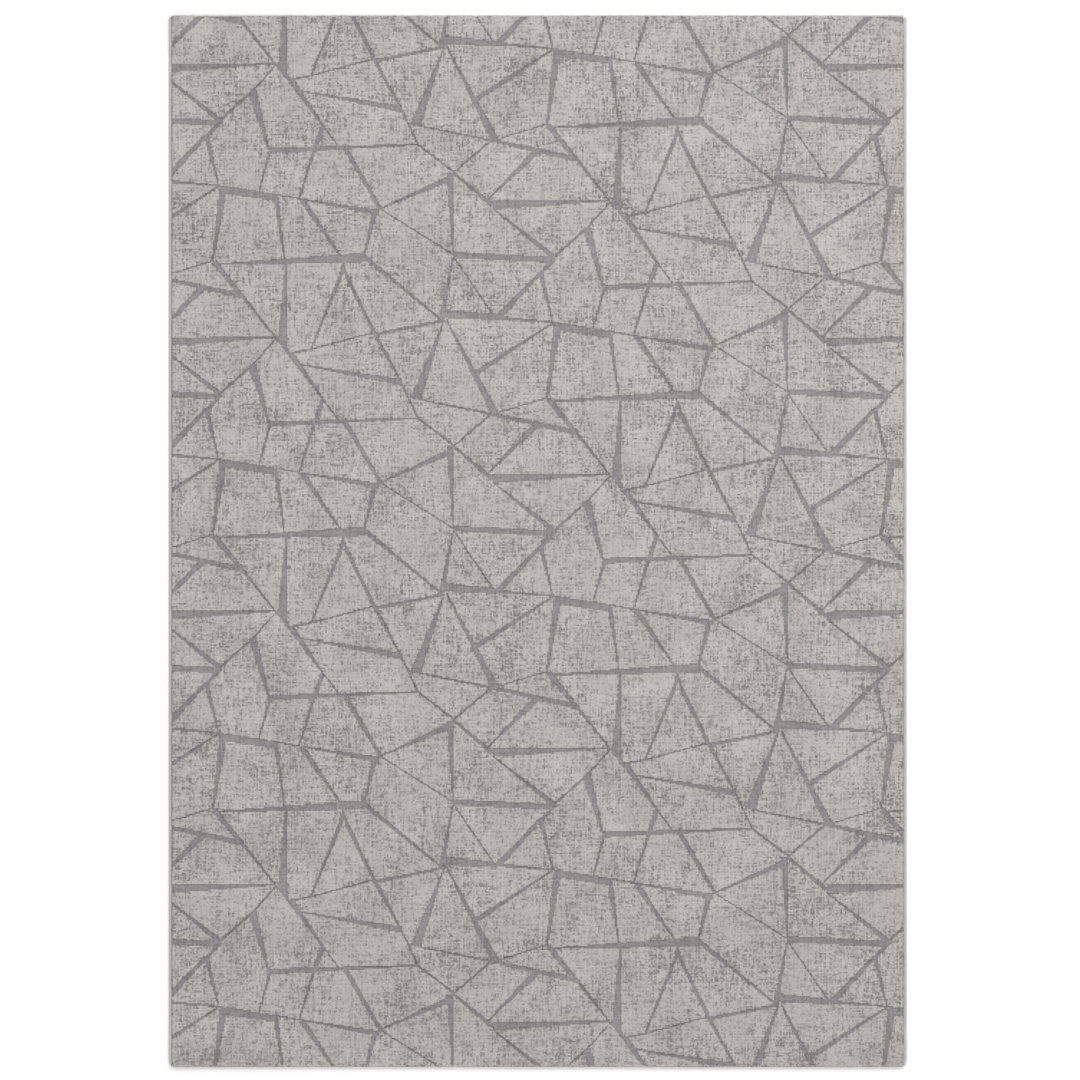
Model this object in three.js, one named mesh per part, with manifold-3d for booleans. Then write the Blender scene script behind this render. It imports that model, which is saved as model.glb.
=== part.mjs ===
// Area rug: a machine-woven cut-pile rug with a sunken network of tapered lines.
// Millimetres, +Z up, X across the width, Y along the length, lying flat on z = 0.
//
// The ground cloth is a stack of plies: latex back coat, lower weft, stuffer warp, upper weft.
// The piled cloth ends at a fold. The unpiled web past it turns under, is glued to the back, and
// a tape covers its raw edge, so both ends lie higher than the middle and ramp down to it.
// A level is a height above the back of the cloth. It stays the same along ramp and fold.
import * as THREE from "three";
import { mergeVertices } from "three/addons/utils/BufferGeometryUtils.js";
import Module from "manifold-3d";

const wasm = await Module();
wasm.setup();

// Overall size, over the serged sides and over the tips of the pile at the ends.
const rugWidth = 1608;
const rugLength = 2290;

// Ground cloth.
const latexThickness = 0.6;
const weftThickness = 0.6;
const stufferThickness = 0.5;
const plyGap = 0.1;

// Pile. The bed is the dead yarn that lies under the lines. The edge runs are the line yarn
// that lies low along each long side and joins the lines that meet it.
const fieldPileHeight = 8.3;
const linePileHeight = 5.3;
const pileBedThickness = 0.3;
const pileClearance = 0.3;
const edgeRunWidth = 2;
const edgeRunHeight = 0.5;
const lastTuftAngle = THREE.MathUtils.degToRad(40);
const bedEndAngle = THREE.MathUtils.degToRad(30);
const cutterMargin = 20;

// Folded ends.
const flapDepth = 27;
const rampLength = 70;
const adhesiveThickness = 0.4;
const adhesiveInset = 2;
const tapeThickness = 0.6;
const tapeOnFlap = 24;
const tapeOnBack = 20;
const tapeClimb = 6;
const rawEdgeClearance = 0.8;
const foldFacets = 8;
const fanFacets = 2;

// Serged sides.
const overlockWidth = 8.5;
const overlockWall = 0.9;
const overlockSole = 0.6;
const overlockUnderlap = 2.2;
const overlockShoulderRun = 1.8;
const overlockShoulderRise = 1.2;
const overlockShoulderAngle = THREE.MathUtils.degToRad(115);
const overlockThroatAngle = THREE.MathUtils.degToRad(170);
const cordDiameter = 3.2;
const cordClearance = 0.3;
const webEdgeClearance = 0.3;
const hemCordShare = 0.5;
const roundFacets = 10;

// Corner tacks, where the serging is locked.
const tackWidth = 6.8;
const tackLength = 2.2;
const tackFacets = 4;

// Blank care label.
const labelWidth = 70;
const labelDepth = 30;
const labelThickness = 0.4;
const labelFromSide = 70;
const labelGap = 4;

// Line motif: the repeat steps this far along the length, and this far for each column across.
const motifOrigin = [-213, -70];
const motifAlong = [0, 596];
const motifAcross = [728, -298];
const strokeOverrun = 1.5;
// Each stroke runs from [x, y, width] to [x, y, width]. The last two numbers are the columns
// and rows to the repeat that holds its end.
const motifStrokes = [
  // Left star.
  [[29, 97, 3.5], [3, 550, 13], 0, -1],
  [[10, 566, 20], [124, 557, 12], 0, 0],
  [[124, 557, 9], [246, 547, 3.5], 0, 0],
  [[28, 96, 3], [117, 561, 4.5], 0, -1],
  [[220, 60, 8], [130, 561, 14.5], 0, -1],
  [[219, 60, 12], [246, 547, 3.5], 0, -1],
  [[9, 550, 3], [676, 84, 24], -1, 0],
  [[15, 551, 4], [121, 346, 18], 0, 0],
  [[663, 85, 3], [122, 345, 6.5], 1, 0],
  // Upper fan.
  [[250, 539, 18], [373, 520, 16], 0, 0],
  [[373, 527, 3.5], [421, 518, 4], 0, 0],
  [[358, 26, 8], [334, 535, 4], 0, -1],
  [[247, 546, 4.5], [81, 438, 12], 0, 0],
  [[256, 539, 18.5], [233, 381, 5.5], 0, 0],
  [[371, 519, 11.5], [390, 383, 3.5], 0, 0],
  [[421, 518, 3], [595, 488, 13.5], 0, 0],
  [[428, 515, 14], [512, 393, 4], 0, 0],
  [[455, 32, 8.5], [422, 519, 4.5], 0, -1],
  [[519, 37, 11.5], [598, 497, 9], 0, -1],
  // Right star.
  [[598, 496, 3], [28, 267, 15], 1, 1],
  [[598, 496, 3], [28, 99, 3.5], 1, 1],
  [[586, 489, 12.5], [563, 395, 5], 0, 0],
  [[240, 375, 4], [562, 390, 21], 0, 0],
  [[562, 393, 11], [1, 554, 5], 1, 0],
  // Middle left.
  [[231, 382, 3.5], [130, 351, 3], 0, 0],
  [[237, 379, 13.5], [296, 307, 10], 0, 0],
  [[109, 345, 5], [31, 278, 4.5], 0, 0],
  [[123, 345, 8.5], [295, 307, 13], 0, 0],
  [[211, 324, 15.5], [105, 218, 3], 0, 0],
  [[298, 306, 8.5], [377, 206, 3.5], 0, 0],
  [[116, 206, 21], [368, 216, 3.5], 0, 0],
  [[393, 382, 4.5], [386, 210, 23], 0, 0],
  [[386, 211, 23], [396, 181, 3], 0, 0],
  [[30, 276, 6], [113, 206, 10.5], 0, 0],
  // Lower left.
  [[117, 197, 3], [247, 94, 12.5], 0, 0],
  [[22, 275, 15.5], [29, 99, 3.5], 0, 0],
  [[28, 98, 13.5], [245, 87, 14], 0, 0],
  [[370, 212, 3], [322, 158, 5], 0, 0],
  [[322, 158, 5.5], [251, 95, 6], 0, 0],
  [[251, 91, 8], [221, 58, 8.5], 0, 0],
  [[320, 155, 20], [355, 30, 6], 0, 0],
  // Lower right.
  [[356, 27, 13.5], [680, 40, 4], 0, 0],
  [[473, 81, 11], [456, 32, 11], 0, 0],
  [[474, 80, 3.5], [507, 36, 3.5], 0, 0],
  [[404, 180, 14], [472, 83, 5.5], 0, 0],
  [[397, 180, 6], [447, 190, 5], 0, 0],
  [[447, 190, 4], [585, 227, 4], 0, 0],
  [[586, 222, 9], [2, 549, 6.5], 1, 0],
  [[517, 379, 3], [511, 348, 9.5], 0, 0],
  [[511, 348, 9.5], [447, 190, 4.5], 0, 0],
  [[517, 379, 3], [525, 348, 9], 0, 0],
  [[525, 348, 9.5], [585, 226, 8.5], 0, 0],
  [[585, 226, 10], [644, 117, 5], 0, 0],
  [[644, 117, 4.5], [680, 40, 5], 0, 0],
  [[423, 157, 3], [644, 118, 15.5], 0, 0],
  [[680, 40, 4.5], [31, 278, 5.5], 1, 0],
];

// Levels, from the back of the cloth up.
const lowerWeftLevel = latexThickness + plyGap;
const stufferLevel = lowerWeftLevel + weftThickness + plyGap;
const upperWeftLevel = stufferLevel + stufferThickness + plyGap;
const clothTopLevel = upperWeftLevel + weftThickness;
const pileRootLevel = clothTopLevel + plyGap;
const fieldTopLevel = pileRootLevel + fieldPileHeight;
const bedTopLevel = pileRootLevel + pileBedThickness;
const lineRootLevel = bedTopLevel + pileClearance;
const edgeRunTopLevel = lineRootLevel + edgeRunHeight;
const lineTopLevel = pileRootLevel + linePileHeight;

// Folded ends. The slot is the gap between back and flap that the adhesive fills.
const slotHalf = adhesiveThickness / 2 + plyGap;
const flapBottom = Math.max(tapeThickness, overlockSole) + plyGap;
const foldZ = flapBottom + clothTopLevel + slotHalf;
const hemRise = foldZ + slotHalf;
const foldY = rugLength / 2 - (slotHalf + fieldTopLevel) * Math.cos(lastTuftAngle);
const foldEdgeY = foldY + slotHalf + clothTopLevel;
const rawEdgeY = foldY - flapDepth;
const rampFootY = rawEdgeY - rampLength;

// Across the width.
const cordRadius = cordDiameter / 2;
const overlockBore = cordRadius + cordClearance;
const overlockRadius = overlockBore + overlockWall;
const cordX = rugWidth / 2 - overlockRadius;
const clothHalfWidth = cordX - overlockBore - webEdgeClearance;
const overlockInnerX = rugWidth / 2 - overlockWidth;
const soleInnerX = overlockInnerX - overlockUnderlap;
const pileHalfWidth = overlockInnerX - pileClearance;
const backHalfWidth = soleInnerX - pileClearance;

// How far the back of the cloth lies above z = 0, at y.
function rise(y) {
  const fromFoot = (Math.abs(y) - rampFootY) / rampLength;
  return hemRise * THREE.MathUtils.clamp(fromFoot, 0, 1);
}

// Points [y, z] at one level of the cloth from the ramp's foot to lastAngle round the fold.
function endPath(level, lastAngle, facets) {
  const radius = slotHalf + level;
  const path = [[rampFootY, level], [rawEdgeY, hemRise + level]];
  for (let i = 0; i <= facets; i++) {
    const angle = Math.PI / 2 + (i / facets) * (lastAngle - Math.PI / 2);
    path.push([foldY + radius * Math.cos(angle), foldZ + radius * Math.sin(angle)]);
  }
  return path;
}

// The same level of the folded web, all the way to the flap's raw edge.
function flapPath(level) {
  const path = endPath(level, -Math.PI / 2, foldFacets);
  path.push([rawEdgeY, foldZ - slotHalf - level]);
  return path;
}

// An end's path with its mirror image: one path from the foot end to the head end.
function bothEnds(path) {
  const foot = path.map(([y, z]) => [-y, z]).reverse();
  return foot.concat(path);
}

// The closed outline between two paths.
function between(lower, upper) {
  return lower.concat([...upper].reverse());
}

function mergedGeometry(geometry) {
  geometry.deleteAttribute("normal");
  geometry.deleteAttribute("uv");
  return mergeVertices(geometry);
}

function shapeOf(outline) {
  return new THREE.Shape(outline.map(([a, b]) => new THREE.Vector2(a, b)));
}

// A solid with a [y, z] outline that runs across the rug from x = from to x = to.
function acrossRug(outline, from, to) {
  const geometry = new THREE.ExtrudeGeometry(shapeOf(outline), { depth: to - from, bevelEnabled: false });
  geometry.translate(0, 0, from);
  const along = new THREE.Vector3(0, 1, 0);
  const up = new THREE.Vector3(0, 0, 1);
  const across = new THREE.Vector3(1, 0, 0);
  geometry.applyMatrix4(new THREE.Matrix4().makeBasis(along, up, across));
  return mergedGeometry(geometry);
}

// A solid with an [x, z] section that runs along the rug. At each station along Y, lift says
// how far a point of the section is raised.
function alongRug(outline, stations, lift) {
  const steps = stations.length - 1;
  const options = { depth: steps, steps, bevelEnabled: false };
  const geometry = new THREE.ExtrudeGeometry(shapeOf(outline), options);
  const position = geometry.getAttribute("position");
  for (let i = 0; i < position.count; i++) {
    const x = position.getX(i);
    const z = position.getY(i);
    const y = stations[steps - Math.round(position.getZ(i))];
    position.setXYZ(i, x, y, z + lift(x, y, z));
  }
  return mergedGeometry(geometry);
}

function solidOf(geometry) {
  return new wasm.Manifold(new wasm.Mesh({
    numProp: 3,
    vertProperties: geometry.getAttribute("position").array,
    triVerts: new Uint32Array(geometry.index.array),
  }));
}

function geometryOf(solid) {
  const mesh = solid.getMesh();
  const geometry = new THREE.BufferGeometry();
  geometry.setAttribute("position", new THREE.BufferAttribute(mesh.vertProperties, mesh.numProp));
  geometry.setIndex(new THREE.BufferAttribute(mesh.triVerts, 1));
  return geometry;
}

// ---- Ground cloth ----

function ply(level, thickness, halfWidth) {
  const outline = between(bothEnds(flapPath(level)), bothEnds(flapPath(level + thickness)));
  return acrossRug(outline, -halfWidth, halfWidth);
}

// ---- Pile ----

function pileSlab(fromLevel, toLevel, fromX = -pileHalfWidth, toX = pileHalfWidth) {
  const lower = bothEnds(endPath(fromLevel, lastTuftAngle, fanFacets));
  const upper = bothEnds(endPath(toLevel, lastTuftAngle, fanFacets));
  return solidOf(acrossRug(between(lower, upper), fromX, toX));
}

// A low strip along both long sides, from innerX outwards.
function edgeRuns(fromLevel, toLevel, innerX) {
  const right = pileSlab(fromLevel, toLevel, innerX, pileHalfWidth);
  return right.add(pileSlab(fromLevel, toLevel, -pileHalfWidth, -innerX));
}

// Everything above the bed of dead yarn, past the rug on all sides.
function spaceOverBed() {
  const bed = endPath(bedTopLevel, bedEndAngle, fanFacets);
  const lastZ = bed[bed.length - 1][1];
  const top = hemRise + fieldTopLevel + cutterMargin;
  const outerY = rugLength / 2 + cutterMargin;
  const lower = bothEnds(bed.concat([[outerY, lastZ]]));
  const upper = [[-outerY, top], [outerY, top]];
  return solidOf(acrossRug(between(lower, upper), -rugWidth / 2, rugWidth / 2));
}

// One stroke of the motif as an upright prism, widened all round by spread.
function strokePrism(start, end, spread) {
  const [startX, startY, startWidth] = start;
  const [endX, endY, endWidth] = end;
  const length = Math.hypot(endX - startX, endY - startY);
  const alongX = (endX - startX) / length;
  const alongY = (endY - startY) / length;
  const corner = (x, y, run, side) => [
    x + alongX * run - alongY * side,
    y + alongY * run + alongX * side,
  ];
  const run = strokeOverrun + spread;
  const startHalf = startWidth / 2 + spread;
  const endHalf = endWidth / 2 + spread;
  const outline = [
    corner(startX, startY, -run, -startHalf),
    corner(endX, endY, run, -endHalf),
    corner(endX, endY, run, endHalf),
    corner(startX, startY, -run, startHalf),
  ];
  const height = hemRise + fieldTopLevel;
  return solidOf(mergedGeometry(
    new THREE.ExtrudeGeometry(shapeOf(outline), { depth: height, bevelEnabled: false }),
  ));
}

// The place of a point of the motif, in the repeat that is columns across and rows along.
function placed([x, y, width], columns, rows) {
  return [
    motifOrigin[0] + columns * motifAcross[0] + rows * motifAlong[0] + x,
    motifOrigin[1] + columns * motifAcross[1] + rows * motifAlong[1] + y,
    width,
  ];
}

function touchesPile(start, end) {
  const reach = Math.max(start[2], end[2]);
  const acrossPile = Math.min(start[0], end[0]) - reach < pileHalfWidth
    && Math.max(start[0], end[0]) + reach > -pileHalfWidth;
  const alongPile = Math.min(start[1], end[1]) - reach < rugLength / 2
    && Math.max(start[1], end[1]) + reach > -rugLength / 2;
  return acrossPile && alongPile;
}

// The motif over the whole rug, as one solid of upright prisms.
function lineNetwork(spread) {
  const columnsReach = Math.ceil(rugWidth / motifAcross[0]);
  const rowsReach = Math.ceil(rugLength / motifAlong[1]) + columnsReach;
  let network = null;
  for (let column = -columnsReach; column <= columnsReach; column++) {
    for (let row = -rowsReach; row <= rowsReach; row++) {
      for (const [from, to, columnsOn, rowsOn] of motifStrokes) {
        const start = placed(from, column, row);
        const end = placed(to, column + columnsOn, row + rowsOn);
        if (!touchesPile(start, end)) continue;
        const prism = strokePrism(start, end, spread);
        network = network ? network.add(prism) : prism;
      }
    }
  }
  return solidOf(geometryOf(network));
}

// Tufts that the edge of the rug cuts off from the rest are left out.
function largestBody(solid) {
  const bodies = solid.decompose();
  return bodies.reduce((best, body) => (body.volume() > best.volume() ? body : best));
}

function linePile() {
  const lines = pileSlab(lineRootLevel, lineTopLevel).intersect(lineNetwork(0));
  const runs = edgeRuns(lineRootLevel, edgeRunTopLevel, pileHalfWidth - edgeRunWidth);
  return geometryOf(largestBody(lines.add(runs)));
}

function fieldPile() {
  const channels = lineNetwork(pileClearance).intersect(spaceOverBed());
  const runInnerX = pileHalfWidth - edgeRunWidth - pileClearance;
  const rebates = edgeRuns(bedTopLevel, edgeRunTopLevel + pileClearance, runInnerX);
  const slab = pileSlab(pileRootLevel, fieldTopLevel);
  return geometryOf(largestBody(slab.subtract(channels).subtract(rebates)));
}

// ---- Folded ends ----

// Outline of a strip under the back of the cloth: its top follows a list of [y, z].
function underStrip(top, thickness) {
  const bottom = top.map(([y, z]) => [y, z - thickness]);
  return between(bottom, top);
}

function hemTape() {
  const underBack = (y) => [y, rise(y) - plyGap];
  const top = [
    underBack(rawEdgeY - tapeOnBack),
    underBack(rawEdgeY - tapeClimb),
    [rawEdgeY - rawEdgeClearance, tapeThickness],
    [rawEdgeY + tapeOnFlap, tapeThickness],
  ];
  return acrossRug(underStrip(top, tapeThickness), -backHalfWidth, backHalfWidth);
}

function hemAdhesive() {
  const depth = flapDepth - 2 * adhesiveInset;
  const geometry = new THREE.BoxGeometry(2 * backHalfWidth, depth, adhesiveThickness);
  return geometry.translate(0, rawEdgeY + adhesiveInset + depth / 2, foldZ);
}

// On the ramp at the foot end, next to the tape.
function careLabel() {
  const outerY = -(rawEdgeY - tapeOnBack - labelGap);
  const innerY = outerY + labelDepth;
  const top = [[outerY, rise(outerY) - plyGap], [innerY, rise(innerY) - plyGap]];
  const outerX = -backHalfWidth + labelFromSide;
  return acrossRug(underStrip(top, labelThickness), outerX, outerX + labelWidth);
}

// ---- Serged sides ----

const sideStations = [-foldEdgeY, -rawEdgeY, -rampFootY, rampFootY, rawEdgeY, foldEdgeY];

// Points round the cord's centre, from one angle to another.
function arc(radius, from, to) {
  const points = [];
  for (let i = 0; i <= roundFacets; i++) {
    const angle = from + (i / roundFacets) * (to - from);
    points.push([cordX + radius * Math.cos(angle), overlockRadius + radius * Math.sin(angle)]);
  }
  return points;
}

// The section is a C, open to the middle of the rug, round the edge of the cloth and the cord.
// Its top rises with the cloth. Its sole stays on the floor.
function overlock() {
  const quarter = Math.PI / 2;
  const outline = [
    [soleInnerX, 0],
    ...arc(overlockRadius, -quarter, overlockShoulderAngle),
    [overlockInnerX + overlockShoulderRun, pileRootLevel + overlockShoulderRise],
    [overlockInnerX, pileRootLevel + overlockWall],
    [overlockInnerX, pileRootLevel],
    [cordX - overlockBore, pileRootLevel],
    ...arc(overlockBore, overlockThroatAngle, -quarter),
    [cordX - overlockBore, overlockSole],
    [soleInnerX, overlockSole],
  ];
  return alongRug(outline, sideStations, (x, y, z) => {
    const pastCloth = THREE.MathUtils.clamp((x - cordX + overlockBore) / overlockBore, 0, 1);
    const overCord = 1 + pastCloth * (hemCordShare - 1);
    const overSole = THREE.MathUtils.clamp((z - overlockSole) / (pileRootLevel - overlockSole), 0, 1);
    return rise(y) * overCord * overSole;
  });
}

function selvedgeCord() {
  const outline = arc(cordRadius, 0, 2 * Math.PI);
  outline.pop();
  return alongRug(outline, sideStations, (x, y) => rise(y) * hemCordShare);
}

// A dome over the end of the serging: +Y is outwards.
function cornerTack() {
  const profile = [new THREE.Vector2(0, 0)];
  for (let i = 0; i < tackFacets; i++) {
    const angle = (i / tackFacets) * (Math.PI / 2);
    profile.push(new THREE.Vector2(Math.cos(angle), Math.sin(angle)));
  }
  profile.push(new THREE.Vector2(0, 1));
  const height = 2 * overlockRadius + hemRise * hemCordShare;
  const geometry = new THREE.LatheGeometry(profile, 3 * tackFacets);
  return mergedGeometry(geometry.scale(tackWidth / 2, tackLength, height / 2));
}

// ---- Assembly ----

const rug = new THREE.Group();

function yarn(colour, roughness) {
  return new THREE.MeshStandardMaterial({ color: colour, roughness, metalness: 0 });
}

function add(name, geometry, material) {
  const mesh = new THREE.Mesh(geometry, material);
  mesh.name = name;
  rug.add(mesh);
  return mesh;
}

add("latex_backcoat", ply(0, latexThickness, backHalfWidth), yarn("#cfc8b4", 0.7));
add("lower_weft", ply(lowerWeftLevel, weftThickness, clothHalfWidth), yarn("#a98f66", 0.95));
add("stuffer_warp", ply(stufferLevel, stufferThickness, clothHalfWidth), yarn("#d6d1c2", 0.9));
add("upper_weft", ply(upperWeftLevel, weftThickness, clothHalfWidth), yarn("#a98f66", 0.95));
add("field_pile", fieldPile(), yarn("#afaba6", 0.95));
add("line_pile", linePile(), yarn("#8f8c8a", 0.95));
add("care_label", careLabel(), yarn("#ecebe6", 0.6));

const ends = [
  { name: "head", turn: 0, sign: 1 },
  { name: "foot", turn: Math.PI, sign: -1 },
];
const sides = [
  { name: "right", turn: 0, sign: 1 },
  { name: "left", turn: Math.PI, sign: -1 },
];

for (const side of sides) {
  add(side.name + "_overlock", overlock(), yarn("#c5c6c5", 0.85)).rotation.z = side.turn;
  add(side.name + "_selvedge_cord", selvedgeCord(), yarn("#d8d4c8", 0.9)).rotation.z = side.turn;
}
for (const end of ends) {
  add(end.name + "_hem_adhesive", hemAdhesive(), yarn("#d9c58f", 0.4)).rotation.z = end.turn;
  add(end.name + "_hem_tape", hemTape(), yarn("#b9b2a3", 0.8)).rotation.z = end.turn;
  for (const side of sides) {
    const tack = add(`${end.name}_${side.name}_corner_tack`, cornerTack(), yarn("#c5c6c5", 0.85));
    const centreX = rugWidth / 2 - tackWidth / 2;
    const centreZ = overlockRadius + (hemRise * hemCordShare) / 2;
    tack.rotation.z = end.turn;
    tack.position.set(side.sign * centreX, end.sign * (foldEdgeY + plyGap), centreZ);
  }
}

export default rug;
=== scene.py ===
"""Looks of a woven area rug: cut pile with sunken lines, serged sides, folded and taped ends.

Metres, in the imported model's frame: X across the rug, Y along it, Z up, the back on the floor.
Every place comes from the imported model. Only yarn and tuft sizes are set here.
"""

import bpy
import numpy as np
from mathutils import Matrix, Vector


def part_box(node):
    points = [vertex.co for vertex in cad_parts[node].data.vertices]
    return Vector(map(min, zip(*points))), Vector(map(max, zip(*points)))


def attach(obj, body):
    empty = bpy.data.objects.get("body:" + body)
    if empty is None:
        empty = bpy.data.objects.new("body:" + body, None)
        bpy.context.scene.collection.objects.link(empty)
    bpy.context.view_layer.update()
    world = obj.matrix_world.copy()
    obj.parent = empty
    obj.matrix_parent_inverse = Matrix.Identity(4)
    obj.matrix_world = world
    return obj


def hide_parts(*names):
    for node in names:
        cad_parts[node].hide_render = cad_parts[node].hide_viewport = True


bl_info = {
    "name": "Woven area rug",
    "version": (1, 0, 0),
    "blender": (4, 5, 0),
    "location": "3D View > Sidebar > Rug",
    "description": "Builds the pile, serging, cloth plies and hems of a woven rug on its packed model",
    "category": "Add Mesh",
}

MM = 0.001
SEED = 20

# The bands of a wave texture at scale 1 are this far apart.
WAVE_SPACING = 2 * np.pi / 20

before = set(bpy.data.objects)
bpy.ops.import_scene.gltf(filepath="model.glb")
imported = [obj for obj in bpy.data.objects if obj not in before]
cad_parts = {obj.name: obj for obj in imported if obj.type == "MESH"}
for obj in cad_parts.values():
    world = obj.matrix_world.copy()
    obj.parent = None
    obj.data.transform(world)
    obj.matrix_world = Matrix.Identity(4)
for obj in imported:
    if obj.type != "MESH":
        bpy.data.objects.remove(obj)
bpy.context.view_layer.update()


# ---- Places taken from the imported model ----


def node_points(node):
    """Vertices of a node as an (n, 3) array."""
    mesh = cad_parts[node].data
    points = np.empty(len(mesh.vertices) * 3)
    mesh.vertices.foreach_get("co", points)
    return points.reshape(-1, 3)


def node_triangles(node):
    """Corners of a node's triangles as an (n, 3, 3) array."""
    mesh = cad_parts[node].data
    mesh.calc_loop_triangles()
    corners = np.empty(len(mesh.loop_triangles) * 3, dtype=np.int32)
    mesh.loop_triangles.foreach_get("vertices", corners)
    return node_points(node)[corners].reshape(-1, 3, 3)


# Gaps between bonded plies, and between the back and what is stuck or sewn under it.
PLY_GAP = 0.1 * MM
UNDER_GAP = 0.15 * MM
TAPE_THICKNESS = 0.6 * MM
LABEL_THICKNESS = 0.4 * MM
WEB_LOW, WEB_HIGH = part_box("upper_weft")
FIELD_LOW, FIELD_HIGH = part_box("field_pile")
LATEX_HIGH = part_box("latex_backcoat")[1]
OVERLOCK_LOW, OVERLOCK_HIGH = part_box("right_overlock")
CORD_LOW, CORD_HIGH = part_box("right_selvedge_cord")
LABEL_LOW, LABEL_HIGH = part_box("care_label")
TAPE_LOW, TAPE_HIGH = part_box("head_hem_tape")
ADHESIVE_LOW, ADHESIVE_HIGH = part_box("head_hem_adhesive")

# The fold: the web turns half round an axis at (FOLD_Y, FOLD_Z).
FOLD_Z = (WEB_LOW.z + WEB_HIGH.z) / 2
WEB_RADIUS = (WEB_HIGH.z - WEB_LOW.z) / 2
FOLD_Y = WEB_HIGH.y - WEB_RADIUS
CLOTH_TOP = FIELD_LOW.z - PLY_GAP
SLOT_HALF = WEB_RADIUS - CLOTH_TOP
HEM_RISE = FOLD_Z + SLOT_HALF
RAMP_FOOT, RAW_EDGE = np.unique(np.round(np.abs(node_points("stuffer_warp")[:, 1]), 5))[:2]

SIDE_NAMES = {1: "right", -1: "left"}
END_NAMES = {1: "head", -1: "foot"}

# A ring drawn in to this share closes the end of a tube.
POLE = 0.001

# Edges that turn by more than this angle stay sharp.
CREASE = 0.9

# Yarn under the rug comes no closer to the floor than this.
FLOOR_GAP = 0.02 * MM

# Levels of the pile over the back of the cloth. The lines' is their highest in the flat middle.
ROOT_LEVEL = FIELD_LOW.z
FIELD_LEVEL = FIELD_HIGH.z - HEM_RISE
LINE_POINTS = node_points("line_pile")
LINE_LEVEL = float(LINE_POINTS[np.abs(LINE_POINTS[:, 1]) < RAMP_FOOT, 2].max())
PILE_HALF_WIDTH = FIELD_HIGH.x
TIP_RADIUS = SLOT_HALF + FIELD_LEVEL
LAST_ANGLE = float(np.arccos((FIELD_HIGH.y - FOLD_Y) / TIP_RADIUS))
FAN_LENGTH = TIP_RADIUS * (np.pi / 2 - LAST_ANGLE)
PILE_HALF_LENGTH = FOLD_Y + FAN_LENGTH

# The field's walls end this far under the lines' tops, and its edge tufts this far under its own.
WALL_FOOT_DEPTH = 1.5 * MM
EDGE_TUFT_DROP = 0.3 * MM

# The serged sides. The hollow round the cord starts outside the pile, and the sole lies under the cloth.
SIDE_END = WEB_HIGH.y
CORD_X = (CORD_LOW.x + CORD_HIGH.x) / 2
CORD_RADIUS = (CORD_HIGH.x - CORD_LOW.x) / 2
SERGE_RADIUS = OVERLOCK_HIGH.x - CORD_X
PILE_TO_HOLLOW = 4.1 * MM
SOLE_THICKNESS = 0.6 * MM
LINING_POINTS = 24
# The cord rises towards the hem by this share of what the cloth does.
HEM_CORD_SHARE = 0.5
# How far the serging strays inwards at the foot, and over what length.
FOOT_DRIFT = 2.4 * MM
FOOT_DRIFT_LENGTH = 16 * MM


def rise(y):
    """Height of the cloth's back over the floor: none in the middle, a soft S up the ramp, then the hem's."""
    up = np.clip((np.abs(y) - RAMP_FOOT) / (RAW_EDGE - RAMP_FOOT), 0, 1)
    return HEM_RISE * up * up * (3 - 2 * up)


def along_web(s, level, turn_radius):
    """(y, z) at a level over the cloth's back, s along the web from the rug's middle.

    Up to the fold y is s, and z is the rise plus the level. Past it the point turns round the fold's axis,
    by the length past it over turn_radius. After half a turn it runs back under the rug.
    """
    past = np.clip(np.abs(s) - FOLD_Y, 0, None)
    angle = np.clip(past / turn_radius, 0, np.pi)
    radius = SLOT_HALF + level
    y = np.minimum(np.abs(s), FOLD_Y) + radius * np.sin(angle) - (past - angle * turn_radius)
    z = np.where(past > 0, FOLD_Z + radius * np.cos(angle), rise(s) + level)
    return np.sign(s) * y, z


def side_lift(x, y, z):
    """How far the serging is raised at (x, z) of its section: by the rise over the cloth, by a share over the
    cord, and not at all in the sole under the cloth."""
    hollow = CORD_X - (PILE_HALF_WIDTH + PILE_TO_HOLLOW)
    past_cloth = np.clip((np.abs(x) - CORD_X + hollow) / hollow, 0, 1)
    over_cord = 1 + past_cloth * (HEM_CORD_SHARE - 1)
    over_sole = np.clip((z - SOLE_THICKNESS) / (ROOT_LEVEL - SOLE_THICKNESS), 0, 1)
    return rise(y) * over_cord * over_sole


# ---- Meshes ----


def mesh_object(name, points, quads, material, uv=None, smooth=True):
    """An object of four-sided faces, from an (n, 3) array of points and an (m, 4) array of corners."""
    mesh = bpy.data.meshes.new(name)
    mesh.vertices.add(len(points))
    mesh.vertices.foreach_set("co", np.asarray(points, dtype=np.float32).ravel())
    mesh.loops.add(quads.size)
    mesh.loops.foreach_set("vertex_index", np.asarray(quads, dtype=np.int32).ravel())
    mesh.polygons.add(len(quads))
    mesh.polygons.foreach_set("loop_start", np.arange(0, quads.size, 4, dtype=np.int32))
    mesh.polygons.foreach_set("use_smooth", np.full(len(quads), smooth))
    if uv is not None:
        layer = mesh.uv_layers.new(name="OFBake")
        layer.data.foreach_set("uv", np.asarray(uv, dtype=np.float32).ravel())
    mesh.update(calc_edges=True)
    mesh.validate()
    mesh.materials.append(material)
    made = bpy.data.objects.new(name, mesh)
    bpy.context.scene.collection.objects.link(made)
    return made


def grid_quads(rows, columns, close_columns=False):
    """Corners of the faces of a rows by columns grid of points, row by row. Each row may close on itself."""
    row = np.arange(rows - 1)[:, None]
    column = np.arange(columns if close_columns else columns - 1)[None, :]
    next_row = row + 1
    next_column = (column + 1) % columns
    corners = [
        row * columns + column,
        row * columns + next_column,
        next_row * columns + next_column,
        next_row * columns + column,
    ]
    return np.stack([np.broadcast_to(c, (row.size, column.size)) for c in corners], -1).reshape(-1, 4)


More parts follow.
